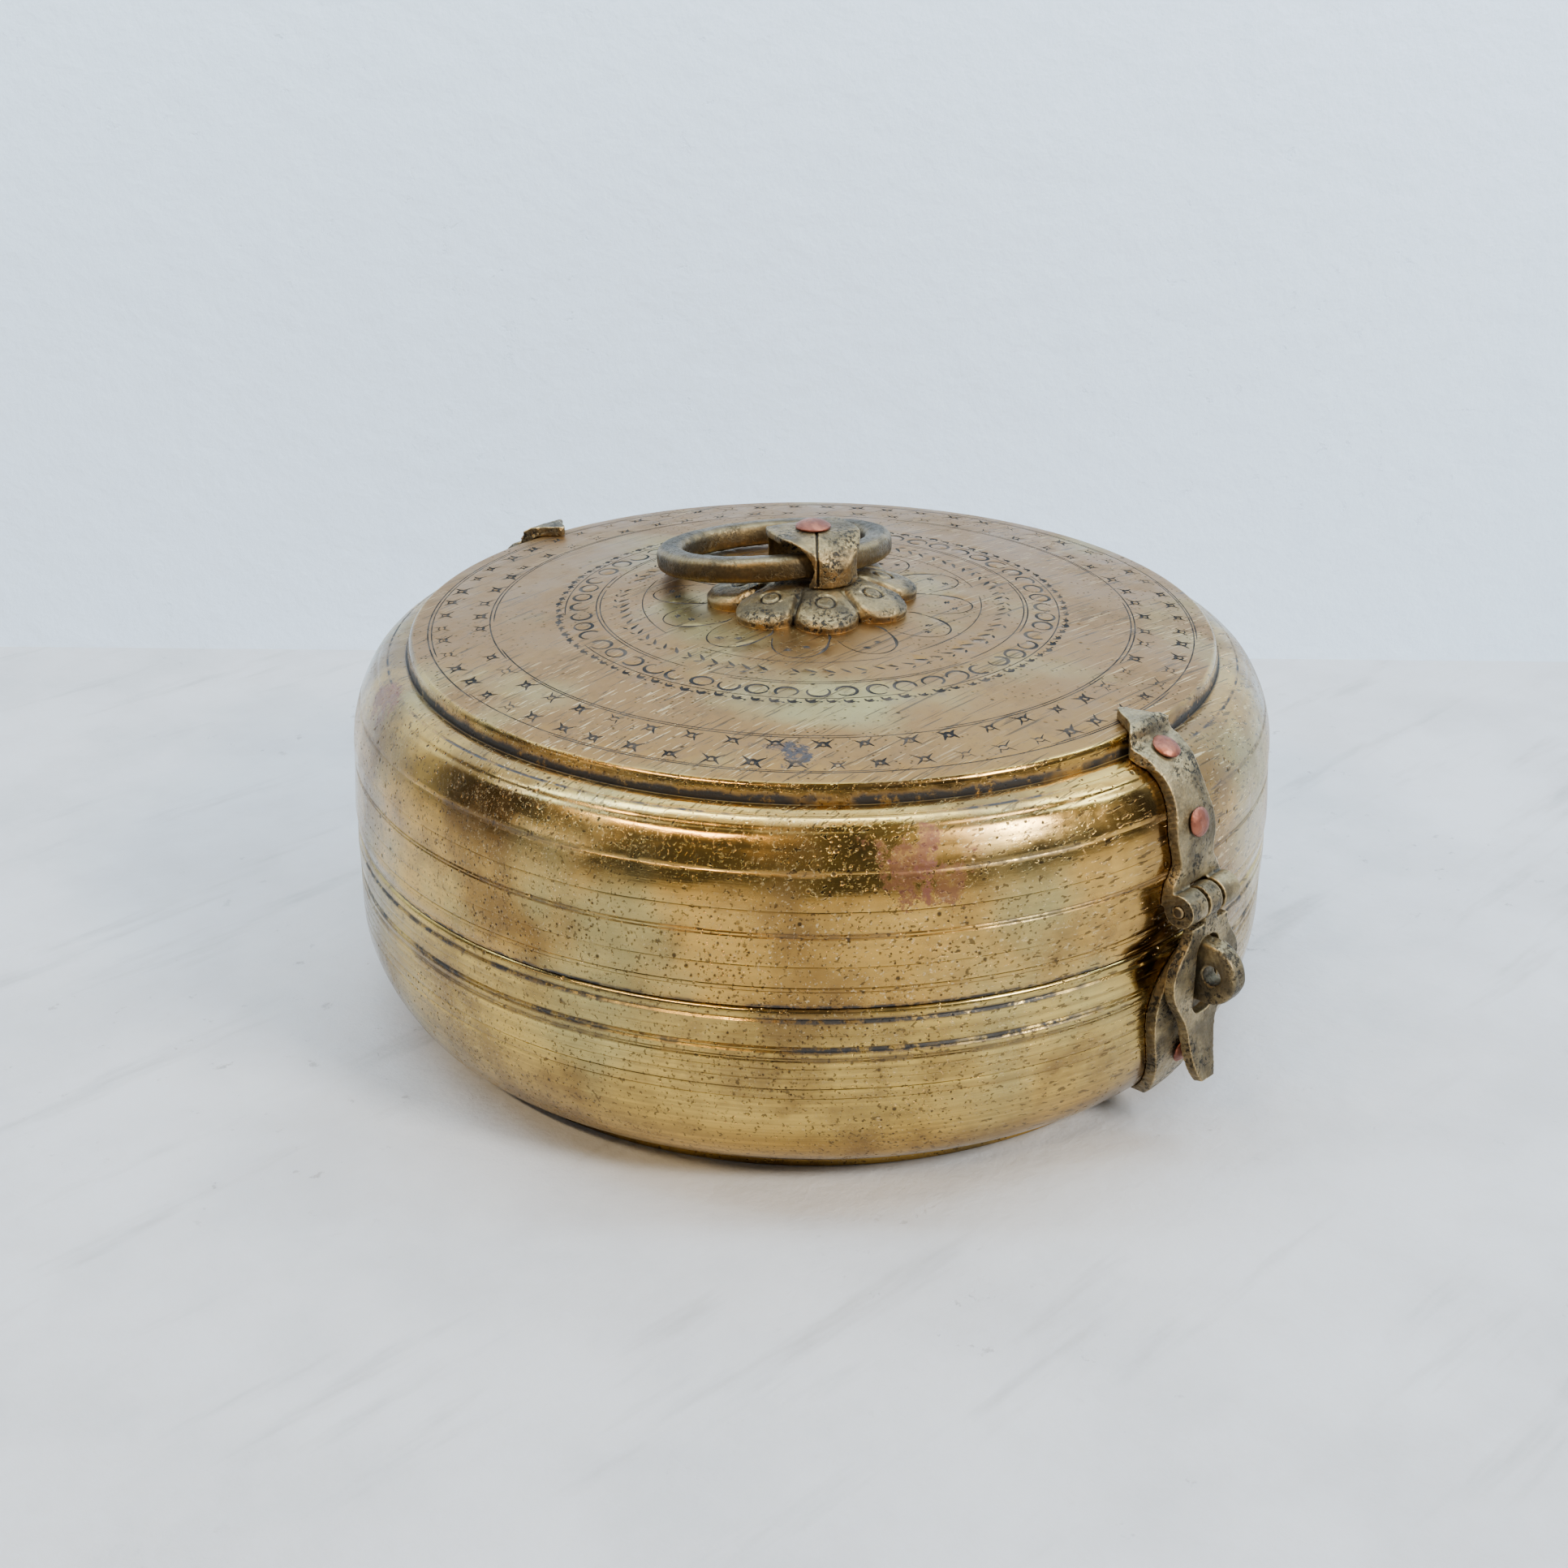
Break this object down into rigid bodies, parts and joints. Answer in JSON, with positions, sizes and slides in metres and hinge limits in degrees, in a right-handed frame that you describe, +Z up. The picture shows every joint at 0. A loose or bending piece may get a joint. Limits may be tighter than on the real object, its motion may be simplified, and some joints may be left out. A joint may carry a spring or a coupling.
{
  "type": "round lidded food box",
  "caption": "Round brass food box with a bulging bowl, a stepped drum lid hinged at the rear, a front hasp over a staple eye, and a swinging ring handle on a petal rosette.",
  "frame": {"origin": "centre of the flat underside, on the box's vertical axis", "axes": "+Z up; the hasp is at -Y and the lid's hinge at +Y; the hinge lines run along X"},
  "size_m": [0.25, 0.2765, 0.1332],
  "materials": {
    "spun_brass_bowl": "worn, turned, golden",
    "spun_brass_lid": "worn, turned, tan patina on top",
    "cast_brass": "rough cast with dark patina",
    "bar_brass": "worn, brown",
    "dark_brass": "tarnished",
    "copper": "matt copper"
  },
  "bodies": {
    "base": {"bowl_shell": "spun_brass_bowl", "staple_plate": "cast_brass", "staple_eye": "cast_brass", "staple_rivet": "copper", "hinge_body_leaf": "cast_brass", "hinge_body_rivet_upper": "copper", "hinge_body_rivet_lower": "copper"},
    "lid": {"lid_shell": "spun_brass_lid", "handle_rosette": "cast_brass", "handle_saddle": "cast_brass", "handle_rivet": "copper", "hasp_lid_plate": "cast_brass", "hasp_rivet_upper": "copper", "hasp_rivet_lower": "copper", "hasp_pin": "dark_brass", "hinge_lid_leaf": "cast_brass", "hinge_lid_rivet_upper": "copper", "hinge_lid_rivet_lower": "copper", "hinge_pin": "dark_brass"},
    "hasp": {"hasp_swing_plate": "cast_brass"},
    "ring": {"handle_ring": "bar_brass"}
  },
  "joints": [
    {"name": "lid_hinge", "type": "hinge", "parent": "base", "child": "lid", "pos_m": [0, 0.13, 0.057], "axis": [-1, 0, 0], "range_deg": [0, 100]},
    {"name": "hasp_swing", "type": "hinge", "parent": "lid", "child": "hasp", "pos_m": [0, -0.1295, 0.0665], "axis": [-1, 0, 0], "range_deg": [0, 150]},
    {"name": "ring_flip", "type": "hinge", "parent": "lid", "child": "ring", "pos_m": [-0.00204, -0.00628, 0.1233], "axis": [0.9511, -0.309, 0], "range_deg": [0, 198]}
  ]
}
